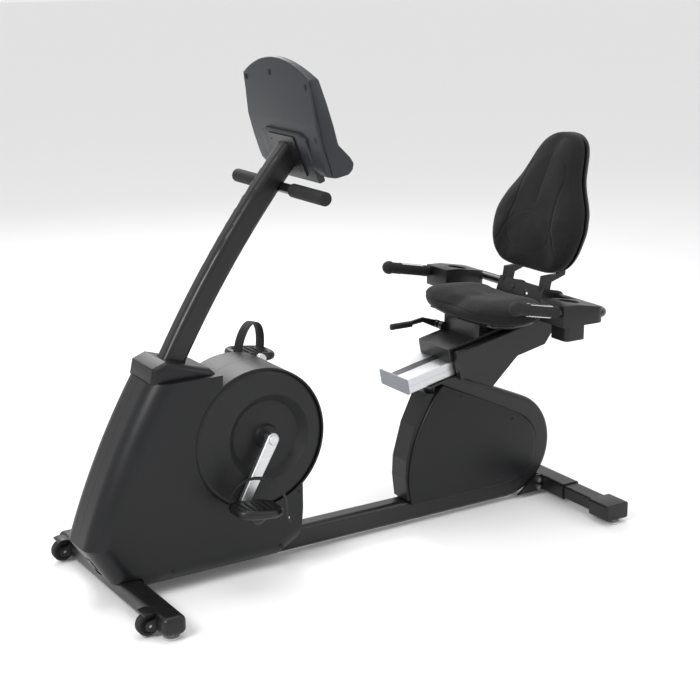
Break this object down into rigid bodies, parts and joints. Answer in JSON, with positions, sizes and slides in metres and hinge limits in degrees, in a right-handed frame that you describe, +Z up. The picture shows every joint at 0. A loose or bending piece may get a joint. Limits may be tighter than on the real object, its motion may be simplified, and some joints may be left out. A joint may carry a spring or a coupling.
{
  "type": "recumbent exercise bike",
  "caption": "Recumbent exercise bike: belt-driven cranks in a round-drum shroud, curved console mast, sliding seat with backrest on a sloped rail, U handlebar with side cup wells.",
  "frame": {"origin": "on the floor, under the middle of the overall box", "axes": "+X towards the seat end, +Y to the rider's right, +Z up"},
  "size_m": [1.5482, 0.66, 1.286],
  "materials": {
    "black_powder_coat": "satin powder coat",
    "shroud_plastic": "fine texture",
    "dark_plastic": "satin",
    "glide": "satin silver grey",
    "wheel_rubber": "matte",
    "console_slate": "fine texture",
    "console_dark": "satin",
    "lens": "polished",
    "keys": "soft matte",
    "foam": "closed-cell foam",
    "crank_silver": "satin silver",
    "rail_aluminium": "brushed",
    "end_plate_grey": "satin",
    "steel": "zinc plated",
    "pulley": "satin",
    "cast_iron": "machined rim",
    "seat_fabric": "woven black"
  },
  "bodies": {
    "frame": {"main_frame": "black_powder_coat", "rear_loop": "black_powder_coat", "front_stabiliser": "black_powder_coat", "rear_bracket": "black_powder_coat", "rear_stabiliser": "black_powder_coat", "front_end_cap_left": "dark_plastic", "front_end_cap_right": "dark_plastic", "rear_end_cap_left": "dark_plastic", "rear_end_cap_right": "dark_plastic", "wheel_axles": "black_powder_coat", "mast": "black_powder_coat", "mast_collar": "shroud_plastic", "shroud_left": "shroud_plastic", "shroud_right": "shroud_plastic", "drum_disc_left": "shroud_plastic", "drum_disc_right": "shroud_plastic", "power_inlet": "dark_plastic", "bottom_bracket": "black_powder_coat", "flywheel_bracket": "black_powder_coat", "drive_belt": "wheel_rubber", "console_back": "console_slate", "console_front": "console_dark", "console_lens": "lens", "console_keys": "keys", "console_bar": "black_powder_coat", "console_bar_sleeves": "foam", "cradle": "black_powder_coat", "seat_rail": "rail_aluminium", "rail_end_plate": "end_plate_grey", "rear_cover_left": "shroud_plastic", "rear_cover_right": "shroud_plastic", "rear_cover_front": "shroud_plastic", "frame_bolts": "steel", "cover_screws": "steel"},
    "cranks": {"spindle": "steel", "crank_arm_left": "crank_silver", "crank_arm_right": "crank_silver", "drive_pulley": "pulley"},
    "left_pedal": {"pedal_left": "dark_plastic"},
    "right_pedal": {"pedal_right": "dark_plastic"},
    "flywheel_rotor": {"flywheel": "cast_iron"},
    "brake": {"brake_arm": "black_powder_coat"},
    "wheel_left": {"transport_wheel_left": "wheel_rubber"},
    "wheel_right": {"transport_wheel_right": "wheel_rubber"},
    "glide_front_left": {"foot_front_left": "glide"},
    "glide_front_right": {"foot_front_right": "glide"},
    "glide_rear_left": {"foot_rear_left": "glide"},
    "glide_rear_right": {"foot_rear_right": "glide"},
    "seat": {"seat_carriage": "black_powder_coat", "seat_cushion": "seat_fabric", "back_frame": "black_powder_coat", "backrest_shell": "dark_plastic", "backrest_cushion": "seat_fabric", "handlebar": "black_powder_coat", "handle_grips": "foam", "pulse_plates": "crank_silver", "side_housing_left": "dark_plastic", "side_housing_right": "dark_plastic"},
    "lever": {"seat_lever": "dark_plastic"},
    "pin": {"lock_pin": "steel"}
  },
  "joints": [
    {"name": "crank_spin", "type": "hinge", "parent": "frame", "child": "cranks", "pos_m": [-0.2851, 0, 0.358], "axis": [0, 1, 0], "continuous": true},
    {"name": "pedal_left_spin", "type": "hinge", "parent": "cranks", "child": "left_pedal", "pos_m": [-0.36752, -0.15, 0.20931], "axis": [0, 1, 0], "continuous": true},
    {"name": "pedal_right_spin", "type": "hinge", "parent": "cranks", "child": "right_pedal", "pos_m": [-0.20268, 0.15, 0.50669], "axis": [0, 1, 0], "continuous": true},
    {"name": "flywheel_spin", "type": "hinge", "parent": "frame", "child": "flywheel_rotor", "pos_m": [-0.4451, 0, 0.205], "axis": [0, 1, 0], "continuous": true},
    {"name": "brake_swing", "type": "hinge", "parent": "frame", "child": "brake", "pos_m": [-0.3341, 0, 0.269], "axis": [0, 1, 0], "range_deg": [0, 10]},
    {"name": "wheel_left_spin", "type": "hinge", "parent": "frame", "child": "wheel_left", "pos_m": [-0.7121, -0.258, 0.033], "axis": [0, 1, 0], "continuous": true},
    {"name": "wheel_right_spin", "type": "hinge", "parent": "frame", "child": "wheel_right", "pos_m": [-0.7121, 0.258, 0.033], "axis": [0, 1, 0], "continuous": true},
    {"name": "glide_front_left_turn", "type": "hinge", "parent": "frame", "child": "glide_front_left", "pos_m": [-0.6691, -0.293, 0.006], "axis": [0, 0, 1], "continuous": true},
    {"name": "glide_front_right_turn", "type": "hinge", "parent": "frame", "child": "glide_front_right", "pos_m": [-0.6691, 0.293, 0.006], "axis": [0, 0, 1], "continuous": true},
    {"name": "glide_rear_left_turn", "type": "hinge", "parent": "frame", "child": "glide_rear_left", "pos_m": [0.6679, -0.31, 0.006], "axis": [0, 0, 1], "continuous": true},
    {"name": "glide_rear_right_turn", "type": "hinge", "parent": "frame", "child": "glide_rear_right", "pos_m": [0.6679, 0.31, 0.006], "axis": [0, 0, 1], "continuous": true},
    {"name": "seat_slide", "type": "slide", "parent": "frame", "child": "seat", "axis": [0.9799, 0, 0.1994], "range_m": [-0.12, 0.1]},
    {"name": "lever_swing", "type": "hinge", "parent": "seat", "child": "lever", "pos_m": [0.3538, 0.1, 0.52298], "axis": [0, 1, 0], "range_deg": [-15, 0]},
    {"name": "pin_slide", "type": "slide", "parent": "seat", "child": "pin", "axis": [-0.1994, 0, 0.9799], "range_m": [-0.01, 0.001]}
  ],
  "couplings": [
    {"joint": "flywheel_spin", "follows": "crank_spin", "ratio": 5.2273},
    {"joint": "pin_slide", "follows": "lever_swing", "m_per_rad": 0.03629}
  ]
}
